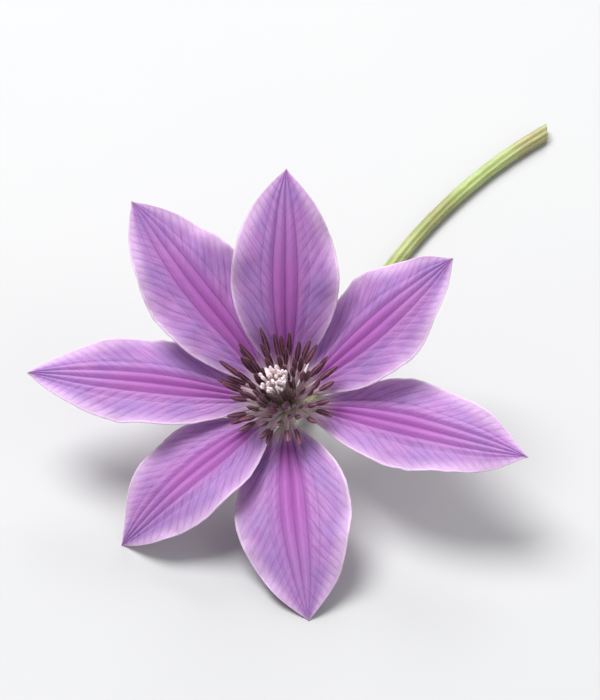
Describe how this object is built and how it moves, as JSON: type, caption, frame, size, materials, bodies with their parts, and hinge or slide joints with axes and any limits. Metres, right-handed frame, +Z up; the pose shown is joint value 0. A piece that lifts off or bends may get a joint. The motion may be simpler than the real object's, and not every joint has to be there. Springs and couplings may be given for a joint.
{
  "type": "clematis flower",
  "caption": "Open clematis bloom with pointed lavender tepals, dark anthers and a pale tuft of styles, picked and lying on its stalk.",
  "frame": {"origin": "on the surface that the flower lies on, under the middle of its box", "axes": "+Z up from the surface; the bloom faces up and towards -Y, and the stalk runs back towards +Y and +X"},
  "size_m": [0.0792, 0.1044, 0.0386],
  "materials": {
    "tepal": "velvety lavender-purple, paler margins, magenta-purple bar along the middle",
    "stalk": "satin green with a purplish-brown flush, finely ribbed and downy",
    "stamens": "dark purple-brown anthers on pale pinkish filaments, matt",
    "pistil": "cream silky styles, matt"
  },
  "bodies": {
    "root": {"stalk": "stalk", "tepal_1_left": "tepal", "tepal_2_back_left": "tepal", "tepal_3_back": "tepal", "tepal_4_back_right": "tepal", "tepal_5_right": "tepal", "tepal_6_front": "tepal", "tepal_7_front_left": "tepal", "stamens": "stamens", "pistil": "pistil"}
  },
  "joints": []
}
